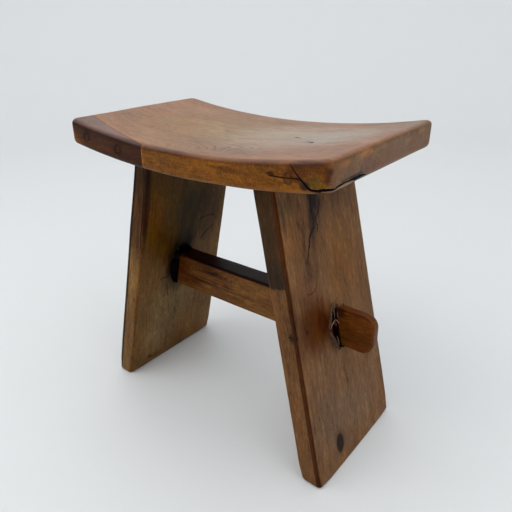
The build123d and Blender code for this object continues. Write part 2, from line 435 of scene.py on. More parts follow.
class Shader:
    """Builds a material's nodes on a piece's own coordinates in millimetres."""

    def __init__(self, name, plank):
        self.material = bpy.data.materials.new(name)
        self.material.use_nodes = True
        self.tree = self.material.node_tree
        self.plank = plank
        values = {
            "Vector": self.node("TexCoord", {}, "Object"),
            "Location": (plank.origin * MM).tolist(),
            "Rotation": Matrix(plank.axes.T.tolist()).to_euler(),
            "Scale": (MM, MM, MM),
        }
        self.place = self.node("Mapping", values, vector_type="TEXTURE")
        self.wobble = 0.0

    def feed(self, socket, value):
        if isinstance(value, Signal):
            self.tree.links.new(value.socket, socket)
        else:
            socket.default_value = value

    def surface(self, name, value):
        """Feeds an input of the surface's own shader."""
        self.feed(self.tree.nodes["Principled BSDF"].inputs[name], value)

    def node(self, kind, values, output=0, **settings):
        """New node with its settings and input values. Gives one of its outputs."""
        node = self.tree.nodes.new("ShaderNode" + kind)
        for name, setting in settings.items():
            setattr(node, name, setting)
        for key, value in values.items():
            self.feed(node.inputs[key], value)
        return Signal(self, node.outputs[output])

    def math(self, operation, *values, clamp=False):
        return self.node("Math", dict(enumerate(values)), operation=operation, use_clamp=clamp)

    def vector(self, operation, *values):
        output = "Value" if operation in ("LENGTH", "DOT_PRODUCT") else 0
        return self.node("VectorMath", dict(enumerate(values)), output, operation=operation)

    def noise(self, density, detail=3.0, roughness=0.55, offset=0.0):
        """Noise between 0 and 1; density is the number of features per millimetre on each axis."""
        scaled = self.vector("MULTIPLY", self.place, density)
        values = {"Vector": scaled, "W": offset, "Scale": 1.0, "Detail": detail, "Roughness": roughness}
        return self.node("TexNoise", values, noise_dimensions="4D")

    def step(self, value, low, high, start=0.0, end=1.0):
        """Smooth step from start to end as the value goes from low to high."""
        values = {"Value": value, "From Min": low, "From Max": high, "To Min": start, "To Max": end}
        return self.node("MapRange", values, interpolation_type="SMOOTHSTEP")

    def mix(self, share, a, b, blend="MIX"):
        return self.node("Mix", {0: share, 6: a, 7: b}, 2, data_type="RGBA", blend_type=blend)

    def tint(self, share, colour, factors):
        """Colour multiplied by a factor for each channel, as far as the share says."""
        return self.mix(share, colour, (*factors, 1.0), "MULTIPLY")

    def ramp(self, value, stops):
        """Colour that eases through three stops."""
        colour = self.node("ValToRGB", {0: value})
        ramp = colour.socket.node.color_ramp
        ramp.interpolation = "EASE"
        ramp.elements.new(0.5)
        for element, (place, stop) in zip(ramp.elements, stops):
            element.position = place
            element.color = stop
        return colour

    def facing(self, direction):
        """How much the surface faces a direction, from 0 to 1."""
        normal = self.node("NewGeometry", {}, "Normal")
        return self.math("MAXIMUM", self.vector("DOT_PRODUCT", normal, direction), 0.0)

    def reach(self, centre, radii):
        """Distance from a centre, as a share of an ellipsoid's radii."""
        away = self.vector("SUBTRACT", self.place, tuple(self.plank.local(centre)))
        return self.vector("LENGTH", self.vector("DIVIDE", away, radii))

    def blob(self, centre, radii, inner):
        """1 inside an uneven ellipsoid, fading to 0 from the inner share of its radius on."""
        return self.step(self.reach(centre, radii) + self.wobble * (1 - inner), inner, 1.0, 1.0, 0.0)


def plain_material(name, colour, roughness, gloss):
    """Rough material with an uneven tone."""
    shader = Shader(name, Plank((0, 0, 0), (1, 0, 0)))
    dark = (*(channel * 0.5 for channel in colour[:3]), 1.0)
    shader.surface("Base Color", shader.mix(shader.noise((0.5, 0.5, 0.5), offset=1.5), dark, colour))
    shader.surface("Roughness", roughness)
    shader.surface("Specular IOR Level", gloss)
    return shader.material


def wood(name, plank, pith, ring, tones, seed, slope=(0.0, 0.0), contrast=0.4, unrest=(5.0, 1.3),
         figure=None, swirls=(), quiet=(), sides=(), fleck=None, arrises=(), tints=(), layers=(),
         gloss=(0.1, 0.1), polish=None):
    """Varnished wood.

    Growth rings lie one ring width apart round a pith at (y, z), which drifts along the grain by the slope.
    They sway and ripple by the unrest, in ring widths. Swirls of (centre, radii, shift) bend them, outside a
    figure of (centre, radii) they are faint, and on quiet faces of (direction, share) only a share shows.
    tones are the dark, middle and light colours of the grain. The rest multiplies them by colour factors:
    sides of (direction, factors), fleck of (direction, factors) in fine bright marks, arrises of (direction,
    direction, factors), tints of (centre, radii along, across and deep, factors, inner share) and layers of
    (direction, near, far, facing or None, start along the grain, factors).
    gloss is the specular level of upright and of level faces, and polish the coat on level ones with the
    centre and radii of where it lies.
    """
    shader = Shader(name, plank)

    def noise(along, across, detail, roughness, offset):
        return shader.noise((along, across, across), detail, roughness, seed + offset)

    x, y, z = (shader.node("SeparateXYZ", {0: shader.place}, axis) for axis in range(3))
    sway = noise(0.004, 0.016, 2.0, 0.5, 0.0)
    ripple = noise(0.014, 0.08, 3.0, 0.6, 3.1)
    shader.wobble = noise(0.035, 0.09, 4.0, 0.6, 7.7) - 0.5
    off_y = x * slope[0] + (y - pith[0])
    off_z = x * slope[1] + (z - pith[1])
    radius = shader.vector("LENGTH", shader.node("CombineXYZ", {1: off_y, 2: off_z}))
    radius = radius + sway * (unrest[0] * ring) + ripple * (unrest[1] * ring)
    for centre, radii, shift in swirls:
        around = shader.reach(centre, radii)
        radius = radius + shader.math("EXPONENT", around * around * -1.0) * shift
    saw = shader.math("FRACT", radius / ring)
    late = shader.math("POWER", saw, 4.0) * shader.step(saw, 0.92, 1.0, 1.0, 0.0)
    strength = shader.step(noise(0.015, 0.03, 2.0, 0.5, 9.0), 0.38, 0.62, 0.25, 1.0)
    if figure:
        strength = (strength * 0.5 + 0.5) * (shader.blob(*figure, 0.3) * 0.8 + 0.2)
    late = late * strength
    for direction, share in quiet:
        late = late * shader.step(shader.facing(direction), 0.15, 0.6, 1.0, share)

    streak = noise(0.011, 0.32, 4.0, 0.6, 11.3)
    fibre = noise(0.09, 0.5, 4.0, 0.75, 13.9)
    mottle = noise(0.035, 0.11, 3.0, 0.6, 15.1)
    broad = noise(0.010, 0.030, 4.0, 0.55, 17.2)
    cloud = noise(0.02, 0.035, 3.0, 0.6, 29.0)
    pore = shader.step(noise(0.08, 0.8, 2.0, 0.6, 19.4), 0.56, 0.7)
    grain = late * contrast
    for part, weight in ((streak, 0.5), (fibre, 1.9), (mottle, 0.6), (broad, 1.2)):
        grain = grain + (part - 0.5) * weight
    grain = shader.math("ADD", grain, 0.40, clamp=True)
    dark, middle, light = tones
    colour = shader.ramp(grain, [(0.0, light), (0.45, middle), (1.0, dark)])
    colour = shader.tint(shader.step(cloud, 0.35, 0.65), colour, (1.06, 0.97, 0.88))
    for direction, factors in sides:
        colour = shader.tint(shader.step(shader.facing(direction), 0.5, 0.9), colour, factors)
    if fleck:
        direction, factors = fleck
        sand = shader.step(shader.noise((0.42, 0.5, 0.3), 3.0, 0.7, seed + 23.0), 0.46, 0.62)
        hatch = x * 0.36 + z * -0.2 + noise(0.02, 0.05, 2.0, 0.5, 31.0) * 9.0
        hatch = shader.step(shader.math("ABSOLUTE", shader.math("FRACT", hatch) - 0.5), 0.1, 0.3)
        hatch = hatch * shader.step(noise(0.04, 0.08, 2.0, 0.5, 37.0), 0.42, 0.6)
        shimmer = shader.math("ADD", sand * 0.5, hatch * 0.55, clamp=True)
        colour = shader.tint(shimmer * shader.step(shader.facing(direction), 0.6, 0.95), colour, factors)
    for one, other, factors in arrises:
        turn = shader.facing(one) * shader.facing(other) + shader.wobble * 0.25
        colour = shader.tint(shader.step(turn, 0.12, 0.42), colour, factors)
    for centre, radii, factors, inner in tints:
        colour = shader.tint(shader.blob(centre, radii, inner), colour, factors)
    for direction, near, far, facing, start, factors in layers:
        depth = shader.vector("DOT_PRODUCT", shader.place, tuple(plank.axes @ np.array(direction)))
        shift = float(np.dot(direction, plank.origin))
        share = shader.step(depth, near - shift, near - shift + 1.0)
        share = share * shader.step(depth, far - shift - 2.5, far - shift, 1.0, 0.0)
        share = share * shader.step(shader.wobble * 16.0 + x, start, start + 2.5)
        if facing:
            share = share * shader.step(shader.facing(facing), 0.3, 0.7)
        colour = shader.tint(share, colour, factors)
    colour = shader.tint(pore * 0.5, colour, (0.55, 0.5, 0.5))

    height = late * -0.3 + fibre * 0.35 + pore * -0.6 + ripple * 2.0
    shader.surface("Base Color", colour)
    shader.surface("Roughness", shader.math("ADD", streak * 0.16 + 0.34, pore * 0.12, clamp=True))
    shader.surface("Specular IOR Level", shader.step(shader.facing(UP), 0.4, 0.95, *gloss))
    shader.surface("Normal", shader.node("Bump", {"Strength": 0.6, "Distance": 0.25 * MM, "Height": height}))
    if polish:
        amount, centre, radii = polish
        level = shader.step(shader.facing(UP), 0.8, 0.97, 0.0, amount)
        shader.surface("Coat Weight", shader.blob(centre, radii, 0.2) * level)
        shader.surface("Coat Roughness", 0.28)
    return shader.material


seat_plank = Plank((0, 0, 433), (1, 0, 0))
left_plank = Plank((-LEG_FOOT_REACH, 0, 0), (math.sin(LEG_LEAN), 0, math.cos(LEG_LEAN)))
right_plank = Plank((LEG_FOOT_REACH, 0, 0), (-math.sin(LEG_LEAN), 0, math.cos(LEG_LEAN)))
bar_plank = Plank((0, STRETCHER_SET_BACK, STRETCHER_CENTRE_HEIGHT), (1, 0, 0))

ALL_ALONG = -1000.0
LEG_INNER_DEPTH = LEG_FOOT_REACH * math.cos(LEG_LEAN)
LEG_OUTER_DEPTH = LEG_INNER_DEPTH + LEG_THICKNESS
PATCH_TAPER = math.atan2(PATCH_END_DEPTH - PATCH_NOSE_DEPTH, PATCH_LENGTH)
PATCH_JOINT_WAY = (math.sin(PATCH_TAPER), math.cos(PATCH_TAPER), 0.0)
PATCH_JOINT_DEPTH = float(np.dot(PATCH_JOINT_WAY, (-SEAT_END, SEAT_FRONT + PATCH_END_DEPTH, 0.0)))

# Tints as centre, radii along, across and deep, colour factors and inner share, in the order of mixing.
SEAT_TINTS = [
    ((118, -127, 411), (70, 12, 14), (0.98, 0.96, 0.85), 0.2),
    ((140, -127, 430), (34, 12, 18), (0.72, 0.70, 0.70), 0.3),
    ((176, -127, 432), (26, 12, 10), (0.45, 0.36, 0.5), 0.3),
    ((196, -127, 425), (14, 12, 8.5), (0.62, 0.86, 1.05), 0.4),
    ((208, -125, 432), (5, 8, 13), (0.5, 0.36, 0.36), 0.3),
    ((211, -125, 436.5), (5, 8, 6), (0.3, 0.14, 0.3), 0.4),
    ((190, -127, 440), (34, 10, 9), (0.5, 0.46, 0.6), 0.3),
    ((212, -64, 445), (5, 20, 5), (1.25, 1.35, 1.5), 0.3),
    ((212, -66, 427), (5, 6, 9), (0.8, 0.85, 0.85), 0.3),
    ((212, 46, 436), (5, 12, 5), (1.3, 1.35, 1.3), 0.4),
    ((212, -10, 432), (6, 26, 12), (0.82, 0.86, 0.92), 0.2),
    ((-56.2, -127, 420), (1.7, 8, 26), (1.6, 1.9, 4.0), 0.6),
    ((85, -127, 421), (42, 12, 5), (0.6, 0.5, 0.55), 0.3),
    ((-10, -127, 430), (60, 12, 8), (0.62, 0.55, 0.6), 0.3),
    ((212, -55, 442), (8, 24, 6), (1.5, 1.35, 1.0), 0.2),
    ((212, -50, 430), (8, 30, 14), (0.85, 0.8, 0.95), 0.3),
    ((143, -127, 425.5), (7, 8, 3.5), (0.28, 0.2, 0.35), 0.4),
    ((176, -127, 424.5), (10, 8, 5), (0.4, 0.35, 0.45), 0.3),
    ((184, -127, 420), (8, 8, 7), (0.2, 0.2, 0.3), 0.4),
    ((164.7, -127, 424.3), (9, 8, 9), (0.75, 0.7, 0.8), 0.5),
    # Painted sheen: pale bluish-grey lightening over the dished top, strongest towards the right.
    ((-20, 0, 430), (190, 150, 30), (0.97, 1.1, 1.02), 0.6),
    ((0, 0, 430), (110, 90, 20), (0.99, 1.12, 1.12), 0.2),
    ((60, 10, 430), (90, 80, 14), (1.05, 1.18, 1.35), 0.1),
    ((150, 20, 440), (80, 90, 18), (1.13, 1.75, 2.8), 0.2),
    ((-110, -20, 436), (110, 90, 20), (0.98, 0.96, 0.72), 0.1),
    ((-40, 45, 431), (40, 26, 14), (0.93, 0.94, 0.96), 0.2),
    ((196, -80, 446), (30, 60, 14), (0.9, 0.9, 0.85), 0.1),
    # Painted sheen: bluish lightening of the top near the back right corner.
    ((195, 90, 446), (40, 50, 14), (0.86, 1.12, 1.4), 0.1),
    ((88, 3, 433), (9, 7, 6), (0.7, 0.68, 0.7), 0.3),
    ((123, -23, 436), (11, 8, 6), (0.6, 0.58, 0.62), 0.3),
    ((212, -100, 441), (8, 16, 5), (1.5, 1.25, 0.9), 0.3),
    ((212, 85, 442), (8, 14, 5), (1.6, 1.3, 0.8), 0.3),
    ((212, -98, 417), (6, 18, 4), (1.7, 1.7, 1.8), 0.5),
    ((211, -66, 418), (6, 17, 6), (0.35, 0.4, 0.5), 0.5),
    ((212, -76, 423.5), (5, 18, 3.5), (0.35, 0.38, 0.45), 0.5),
    ((203, -122, 413.8), (14, 11, 4.8), (0.25, 0.28, 0.36), 0.4),
    ((212, -95, 424), (6, 16, 9), (0.85, 1.0, 1.0), 0.3),
]
PATCH_TINTS = [
    ((-206, -127, 424), (18, 16, 18), (1.4, 1.35, 0.75), 0.3),
    ((-207, -127, 422), (34, 16, 22), (2.2, 2.4, 1.1), 0.3),
    ((-160, -127, 415), (60, 12, 9), (1.35, 1.35, 0.7), 0.2),
    ((-172, -127, 429), (10, 6, 10), (0.5, 0.42, 0.42), 0.7),
    ((-105, -127, 418), (10, 6, 9), (0.5, 0.42, 0.42), 0.7),
]
LEFT_TINTS = [
    ((-118, -93, 335), (125, 10, 60), (0.62, 0.5, 0.42), 0.5),
    ((-108, -91, 388), (60, 10, 60), (0.6, 0.55, 0.5), 0.3),
    ((-102, -89, 345), (125, 9, 8), (0.5, 0.42, 0.35), 0.4),
    ((-104, -20, 330), (150, 96, 40), (0.53, 0.47, 0.05), 0.6),
    ((-108, -20, 366), (40, 60, 16), (0.6, 0.55, 0.5), 0.2),
    ((-112, -70, 292), (64, 26, 16), (1.45, 1.25, 0.7), 0.2),
    ((-117, 2, 300), (84, 54, 16), (0.27, 0.36, 0.5), 0.25),
    ((-124, 10, 246), (34, 26, 16), (0.3, 0.3, 0.5), 0.15),
    ((-112, 56, 290), (100, 46, 16), (0.42, 0.40, 0.3), 0.25),
    ((-128, -6, 204), (76, 50, 24), (0.45, 0.45, 0.5), 0.4),
    ((-128, -8, 206), (52, 34, 24), (0.2, 0.2, 0.25), 0.6),
    ((-120, 14, 240), (22, 12, 16), (0.2, 0.22, 0.3), 0.2),
    ((-140, 0, 160), (26, 60, 24), (0.75, 0.75, 0.8), 0.2),
    ((-176, -45, 14), (10, 26, 10), (0.55, 0.55, 0.6), 0.2),
    ((-177, -59, 17), (4, 4, 6), (0.1, 0.1, 0.1), 0.6),
    ((-150, -20, 110), (110, 110, 16), (1.05, 1.36, 1.9), 0.1),
    ((-170, -50, 45), (50, 60, 16), (1.06, 1.2, 1.5), 0.1),
    ((-108, 0, 385), (26, 120, 40), (0.7, 0.7, 0.7), 0.1),
    ((-165, -50, 58), (60, 60, 20), (1.13, 1.11, 1.15), 0.2),
    ((-138, -49, 182), (24, 28, 14), (0.88, 0.87, 0.84), 0.2),
    ((-108, -75, 313), (42, 26, 14), (1.16, 1.1, 0.75), 0.2),
]
RIGHT_TINTS = [
    ((127, -16, 380), (62, 25, 14), (0.28, 0.29, 0.38), 0.3),
    ((128, -18, 366), (34, 14, 14), (0.34, 0.35, 0.43), 0.3),
    ((134, -27, 338), (40, 12, 12), (0.42, 0.42, 0.48), 0.25),
    ((146, -46, 288), (26, 10, 12), (0.8, 0.78, 0.8), 0.2),
    ((125, -66, 378), (18, 7, 10), (0.7, 0.7, 0.74), 0.2),
    ((128, -82, 360), (26, 5, 8), (0.48, 0.5, 0.58), 0.3),
    ((140, -33, 318), (34, 9, 12), (0.66, 0.64, 0.68), 0.2),
    ((132, -18, 352), (8, 4, 6), (3.0, 3.2, 3.4), 0.3),
    ((104, -90, 385), (50, 12, 22), (1.15, 1.15, 0.85), 0.3),
    ((128, -92, 290), (34, 12, 22), (0.72, 0.8, 0.95), 0.4),
    ((131, 34, 368), (56, 60, 16), (0.72, 0.72, 0.72), 0.2),
    ((124, -72, 376), (26, 26, 14), (0.8, 0.88, 0.85), 0.2),
    ((135, -68, 335), (40, 30, 14), (1.25, 1.15, 0.95), 0.1),
    ((150, 30, 270), (90, 60, 16), (1.08, 0.96, 0.62), 0.2),
    # Painted reflection of the tenon: orange-brown darkening of the outer face in front of the right
    # opening.
    ((162, -54, 214), (56, 54, 14), (0.48, 0.26, 0.02), 0.3),
    ((161, -38, 214), (36, 20, 14), (0.6, 0.5, 0.4), 0.2),
    ((154, -97, 214), (10, 9, 6.5), (0.24, 0.2, 0.2), 0.3),
    ((190, -60, 110), (80, 60, 24), (0.84, 0.92, 1.15), 0.1),
    ((200, -10, 60), (60, 110, 24), (0.96, 1.12, 1.5), 0.1),
    ((204.5, -41.0, 36.5), (27, 16, 10), (0.48, 0.42, 0.45), 0.3),
    ((204.5, -42.0, 34.5), (17, 10.5, 10), (0.16, 0.14, 0.2), 0.7),
    ((162.7, -72.7, 214.8), (4.5, 3.6, 5), (0.4, 0.4, 0.5), 0.6),
    # Painted shadow: darker halo round the right opening.
    ((165, -14, 194), (50, 27, 8), (0.4, 0.3, 0.2), 0.5),
]
BAR_TINTS = [
    # Painted shade: the stretcher's top face, under the seat, darkened nearly to black.
    ((-14, 12, 221), (190, 40, 10), (0.12, 0.05, 0.06), 0.85),
    ((-112, -7, 178), (50, 14, 18), (0.6, 0.42, 0.3), 0.3),
    ((-130, -7, 198), (34, 14, 26), (0.66, 0.45, 0.3), 0.3),
    ((-70, -7, 206), (60, 12, 12), (0.7, 0.6, 0.5), 0.2),
    ((30, -7, 188), (70, 12, 40), (1.2, 1.3, 1.45), 0.1),
    ((-48, -7, 201), (34, 10, 6), (0.5, 0.48, 0.55), 0.1),
    ((-72, -7, 181), (50, 10, 3.2), (0.4, 0.34, 0.4), 0.3),
    ((-5, -7, 181), (50, 10, 3.0), (0.55, 0.5, 0.55), 0.3),
    ((-114, -7, 203), (3, 8, 3), (2.2, 2.3, 2.2), 0.2),
    ((-107, -7, 199), (3, 8, 2.5), (2.0, 2.1, 2.0), 0.2),
    ((-100, -7, 204), (2.5, 8, 3), (2.0, 2.2, 2.0), 0.2),
    ((-92, -7, 200), (3, 8, 2.5), (1.9, 2.1, 2.0), 0.2),
    ((-84, -7, 203), (3, 8, 2), (1.8, 1.9, 1.8), 0.2),
    ((-23.0, -6.8, 201.8), (2.4, 5, 2.6), (1.7, 1.8, 2.0), 0.4),
    ((190, 5, 185), (60, 20, 50), (0.9, 0.66, 0.30), 0.6),
    # Painted shade on the right tenon where it comes out of its opening.
    ((168, -2, 212), (12, 8, 14), (0.4, 0.3, 0.4), 0.3),
    ((166, -9, 194), (6, 10, 28), (0.35, 0.22, 0.3), 0.4),
]

seat_wood = wood(
    "seat_wood", seat_plank, (-103, -64), 2.4, (srgb(84, 52, 34), srgb(136, 92, 60), srgb(160, 114, 78)),
    seed=1.0, slope=(-0.3, 0.17), contrast=1.0, unrest=(6.0, 0.3), figure=((20, -70, 430), (118, 56, 40)),
    gloss=(0.1, 0.5), polish=(0.55, (80, 5, 432), (130, 120, 60)), tints=SEAT_TINTS,
    sides=[(FRONT, (0.49, 0.405, 0.083)), (RIGHT, (0.62, 0.72, 0.82)), (DOWN, (0.6, 0.55, 0.5))],
    arrises=[(UP, FRONT, (0.62, 0.50, 0.36)), (UP, RIGHT, (0.9, 0.78, 0.6)),
             (FRONT, DOWN, (1.35, 1.45, 2.0))],
    fleck=(FRONT, (2.1, 2.05, 1.45)), quiet=[(FRONT, 0.3), (RIGHT, 0.45)],
    layers=[(PATCH_JOINT_WAY, PATCH_JOINT_DEPTH + near, PATCH_JOINT_DEPTH + far, UP, ALL_ALONG, factors)
            for near, far, factors in ((0.0, 7.0, (1.12, 1.06, 0.85)), (-1.0, 2.5, (0.72, 0.68, 0.62)))])
patch_wood = wood(
    "patch_wood", seat_plank, (-160, -40), 6.0, (srgb(44, 24, 17), srgb(74, 43, 26), srgb(96, 60, 37)),
    seed=4.0, gloss=(0.08, 0.5), polish=(0.3, (-150, -100, 440), (90, 60, 60)), tints=PATCH_TINTS,
    sides=[(UP, (2.1, 2.3, 2.6)), (FRONT, (0.56, 0.47, 0.34)), (LEFT, (1.25, 1.05, 0.5))],
    # The lower front arris is darkened as a painted shadow along the patch's bottom edge.
    arrises=[(UP, FRONT, (0.6, 0.5, 0.55)), (FRONT, DOWN, (0.4, 0.4, 0.45))])
left_wood = wood(
    "left_leg_wood", left_plank, (30, -60), 8.0, (srgb(60, 41, 21), srgb(105, 75, 39), srgb(134, 100, 57)),
    seed=6.0, contrast=0.3, gloss=(0.06, 0.1), tints=LEFT_TINTS,
    # Painted shadow: a near-black band down the front edge beside the leg's outer face.
    layers=[(LEFT_LEG_OUT, LEG_OUTER_DEPTH - 8.0, LEG_OUTER_DEPTH + 9.0, FRONT, ALL_ALONG,
             (0.22, 0.2, 0.2))],
    arrises=[(FRONT, LEFT_LEG_IN, (0.85, 0.68, 0.5))])
right_wood = wood(
    "right_leg_wood", right_plank, (-30, 60), 9.0, (srgb(62, 41, 26), srgb(106, 74, 45), srgb(132, 96, 62)),
    seed=9.0, contrast=0.35, gloss=(0.06, 0.1), tints=RIGHT_TINTS,
    sides=[(FRONT, (0.92, 0.86, 0.78))], arrises=[(FRONT, RIGHT_LEG_OUT, (0.8, 0.62, 0.45))],
    layers=[(RIGHT_LEG_OUT, near, far, FRONT, start, factors) for near, far, start, factors in (
        (LEG_OUTER_DEPTH - 7.0, LEG_OUTER_DEPTH + 3.0, ALL_ALONG, (0.4, 0.26, 0.1)),
        (LEG_INNER_DEPTH - 9.0, LEG_OUTER_DEPTH - 5.0, 276.0, (0.3, 0.34, 0.40)))],
    swirls=[((130, -20, 350), (60, 18, 30), 16.0), ((204, -42, 34), (26, 12, 30), 18.0)])
bar_wood = wood(
    "stretcher_wood", bar_plank, (70, 40), 6.0, (srgb(48, 26, 10), srgb(91, 57, 22), srgb(120, 80, 36)),
    seed=12.0, contrast=0.75, unrest=(5.0, 0.7), figure=((-45, -7, 200), (85, 40, 60)),
    gloss=(0.1, 0.08), tints=BAR_TINTS, arrises=[(UP, FRONT, (0.7, 0.3, 0.16))],
    fleck=(FRONT, (1.3, 1.3, 1.2)), swirls=[((-24, -7, 201), (15, 14, 8), 16.0)],
    # Painted shade: the tenons nearly black inside the mortises, through the legs' thickness.
    layers=[(way, LEG_INNER_DEPTH, LEG_OUTER_DEPTH, None, ALL_ALONG, (0.07, 0.05, 0.06))
            for way in (RIGHT_LEG_OUT, LEFT_LEG_OUT)])
dowel_wood = plain_material("dowel_wood", srgb(74, 48, 32), 0.6, 0.04)
wedge_wood = plain_material("wedge_wood", srgb(92, 42, 36), 0.8, 0.05)
chipped_wood = plain_material("chipped_wood", srgb(76, 58, 46), 0.75, 0.1)
crack_dark = plain_material("crack_dark", srgb(26, 17, 12), 0.55, 0.3)
resin_black = plain_material("resin_black", srgb(30, 30, 32), 0.25, 0.5)
# Near-black painted shade for deep recesses: the mortises' walls and the left wedge.
void_painted_shade = plain_material("void_painted_shade", srgb(20, 13, 9), 0.9, 0.05)
pale_fibre = plain_material("pale_fibre", srgb(150, 126, 104), 0.7, 0.1)
torn_fibre = plain_material("torn_fibre", srgb(104, 82, 64), 0.7, 0.1)


# Seat and patch

# Dark arc on each dowel's end: its angles in degrees, its share of the radius and its width.
DOWEL_MARKS = {"patch_dowel_outer": (100, 265, 0.72, 1.7), "patch_dowel_inner": (20, 340, 0.42, 1.2)}
# The long crack: (x, z) on the front edge, its height round the corner, (y, z) on the end, its widths.
FRONT_CRACK = [(165.5, 439.5), (169.2, 435.6), (175.2, 429.6), (181.1, 424.6), (185.9, 419.5),
               (190.6, 417.2), (195.0, 416.6), (199.0, 417.2)]
CORNER_CRACK_HEIGHT = 418.8
END_CRACK = [(-113.5, 420.6), (-102.2, 421.3), (-94.4, 421.8), (-84.2, 421.2), (-71.6, 420.4),
             (-54.1, 419.4)]
CRACK_WIDTHS = [0.8, 1.0, 1.3, 2.0, 3.0, 3.4, 3.4, 3.0, 2.8, 2.2, 1.9, 1.6, 2.6, 4.6, 6.4, 7.0, 5.4]
# The fine strand above it on the end, as (y, z), and the crack beside it on the front edge, as (x, z).
END_STRAND = [(-108.0, 422.6), (-98.0, 424.3), (-86.0, 424.6), (-74.0, 423.6)]
SIDE_CRACK = [(140.3, 423.9), (150.3, 424.0), (158.8, 424.4), (169.6, 425.1), (175.4, 425.2), (181.2, 424.1)]
# Pits as ((x, y), (half width, depth)), scratches as (x, y), and knots as (place, radii, line width).
PITS = [((87.5, 4.6), (2.6, 1.2)), ((95.5, -1.0), (1.4, 1.0)), ((119.6, -20.8), (1.6, 1.2)),
        ((127.7, -24.9), (3.0, 1.5)), ((124.0, -23.0), (1.2, 0.9)), ((92.0, 3.0), (0.9, 0.7))]
SCRATCHES = [[(138, -94), (147, -89)], [(108, -80), (119, -75)], [(150, -60), (158, -57)]]
SEAT_KNOT = ((164.7, SEAT_FRONT, 424.3), (4.7, 5.8), 1.8)


def seat_body(material):
    """The whole dished plank."""
    halves = (SEAT_END, SEAT_DEPTH / 2, SEAT_END_THICKNESS / 2)
    points, quads = plate_skin(halves, SEAT_CORNER_ROUND, (SEAT_BOTTOM_ROUND, SEAT_TOP_ROUND))
    noise = SmoothNoise(21)
    top_round = SEAT_TOP_ROUND * (0.86 + 0.14 * noise(points * (1, 1, 0), 60.0))
    low_round = SEAT_BOTTOM_ROUND * (0.86 + 0.14 * noise(points * (1, 1, 0) + 900.0, 60.0))
    points = round_plate(points, halves, SEAT_CORNER_ROUND, top_round, low_round)
    points = wear(points, quads, 22)
    share = (points[:, 2] + halves[2]) / (2 * halves[2])
    low = arc_height(SEAT_UNDERSIDE_SAG, points[:, 0])
    high = arc_height(SEAT_TOP_SAG, points[:, 0])
    points[:, 2] += SEAT_END_HEIGHT - SEAT_END_THICKNESS / 2 + low * (1 - share) + high * share
    return points, quads, material


def patch_room(gap, material):
    """Room in front of the patch's glue line, drawn back from it by a gap."""
    beyond = 30.0
    nose_x = -SEAT_END + PATCH_LENGTH - gap
    rise = (PATCH_END_DEPTH - PATCH_NOSE_DEPTH) / PATCH_LENGTH
    end_y = SEAT_FRONT + PATCH_END_DEPTH + rise * beyond - gap
    outline = [(-SEAT_END - beyond, SEAT_FRONT - beyond), (nose_x, SEAT_FRONT - beyond),
               (nose_x, SEAT_FRONT + PATCH_NOSE_DEPTH - gap), (-SEAT_END - beyond, end_y)]
    heights = (SEAT_CENTRE_UNDERSIDE - beyond, SEAT_END_HEIGHT + beyond)
    return (*skin_loops([[(x, y, z) for x, y in outline] for z in heights]), material)


def dowel_ring(from_end, radius, y, angles):
    """Points round a dowel's axis, which lies halfway up the front edge."""
    x = -SEAT_END + from_end
    z = (seat_top(x) + seat_underside(x)) / 2
    return [(x + radius * math.cos(a), y, z + radius * math.sin(a)) for a in angles]


def dowel_body(from_end, length, radius, proud, material):
    """Round dowel driven in from the front edge, its end a little domed."""
    angles = np.linspace(0, 2 * math.pi, 24, endpoint=False)
    stages = ((-proud - 0.4, 0.6), (-proud, 0.94), (-proud + 0.5, 1.0), (length, 1.0))
    loops = [dowel_ring(from_end, radius * share, SEAT_FRONT + reach, angles) for reach, share in stages]
    return (*skin_loops(loops), material)


def dowel_mark(from_end, start, end, share, width):
    """Cutter for the dark arc on a dowel's end."""
    angles = np.radians(np.linspace(start, end, 11))
    path = dowel_ring(from_end, share * DOWEL_RADIUS, SEAT_FRONT - 0.1, angles)
    return groove(path, FRONT, width, 0.9, 64, crack_dark, 0.3)


def corner_crack():
    """The long crack that runs down the front edge, round the right corner and along the end."""
    path = [(x, SEAT_FRONT, z) for x, z in FRONT_CRACK]
    ways = [FRONT] * len(FRONT_CRACK)
    for turn in np.radians((15, 45, 75)):
        way = (math.sin(turn), -math.cos(turn), 0.0)
        x = SEAT_END - SEAT_CORNER_ROUND * (1 - way[0])
        path.append((x, SEAT_FRONT + SEAT_CORNER_ROUND * (1 + way[1]), CORNER_CRACK_HEIGHT))
        ways.append(way)
    path += [(SEAT_END, y, z) for y, z in END_CRACK]
    ways += [RIGHT] * len(END_CRACK)
    return groove(path, ways, CRACK_WIDTHS, 3.6, 61, resin_black, 0.22)


def knot_ring(place, radii, width):
    """Broken ring of a small knot on a face that looks to the front."""
    x, y, z = place
    wide, high = radii
    bodies = []
    for start, end in ((0.2, 1.1), (1.3, 2.9), (3.3, 4.6), (4.8, 6.1)):
        path = [(x + wide * math.cos(a), y, z + high * math.sin(a)) for a in np.linspace(start, end, 9)]
        bodies.append(groove(path, FRONT, width, 0.8, 62, crack_dark, 0.3))
    return bodies


def seat_marks():
    """Pits and scratches on the top."""
    marks = []
    for number, ((x, y), (wide, deep)) in enumerate(PITS):
        radii = (wide, wide * 0.7, deep)
        marks.append(lump((x, y, seat_top(x)), radii, 70 + number, crack_dark, 0.45, 6, 10))
    for number, scratch in enumerate(SCRATCHES):
        path = [(x, y, seat_top(x)) for x, y in scratch]
        marks.append(groove(path, UP, 0.8, 0.5, 80 + number, crack_dark))
    return marks


def stub_boxes(side, size, low, high, material):
    """Boxes in the places of a leg's two stub tenons, from low to high above the leg's top."""
    width, thickness = size
    up = LEG_LENGTH + np.array([low, low, high, high])
    bodies = []
    for end in (-1, 1):
        across = np.array([-width / 2, width / 2, width / 2, -width / 2]) + end * STUB_SPACING / 2
        loops = [leg_to_world(side, across, up, (LEG_THICKNESS + way * thickness) / 2) for way in (-1, 1)]
        bodies.append((*skin_loops(loops), material))
    return bodies


